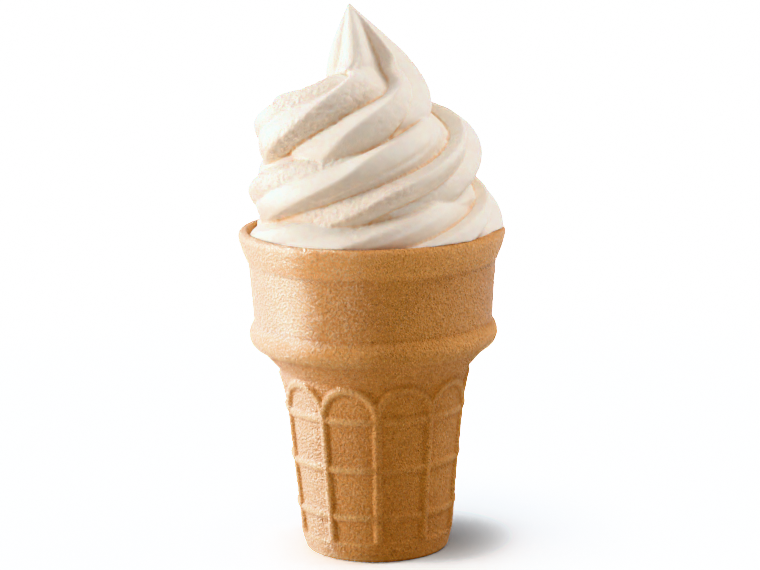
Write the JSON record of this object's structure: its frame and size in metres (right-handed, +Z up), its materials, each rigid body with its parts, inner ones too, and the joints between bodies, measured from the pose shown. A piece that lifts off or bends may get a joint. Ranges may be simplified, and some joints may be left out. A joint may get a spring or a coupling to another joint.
{
  "type": "soft serve cone",
  "caption": "Soft serve ice cream swirl with a pulled tip, in a flat-bottomed wafer cone with a flared lip and arched relief.",
  "frame": {"origin": "centre of the flat underside of the wafer cone", "axes": "+Z up along the cone's axis, -Y toward the front, +X to the right of the front"},
  "size_m": [0.0622, 0.0622, 0.1286],
  "materials": {
    "wafer": "baked wafer, dry and fine-grained with a slight sheen",
    "ice_cream": "soft frozen cream, satin, with icy grain in the crests"
  },
  "bodies": {
    "root": {"wafer_cone": "wafer", "soft_serve": "ice_cream"}
  },
  "joints": []
}
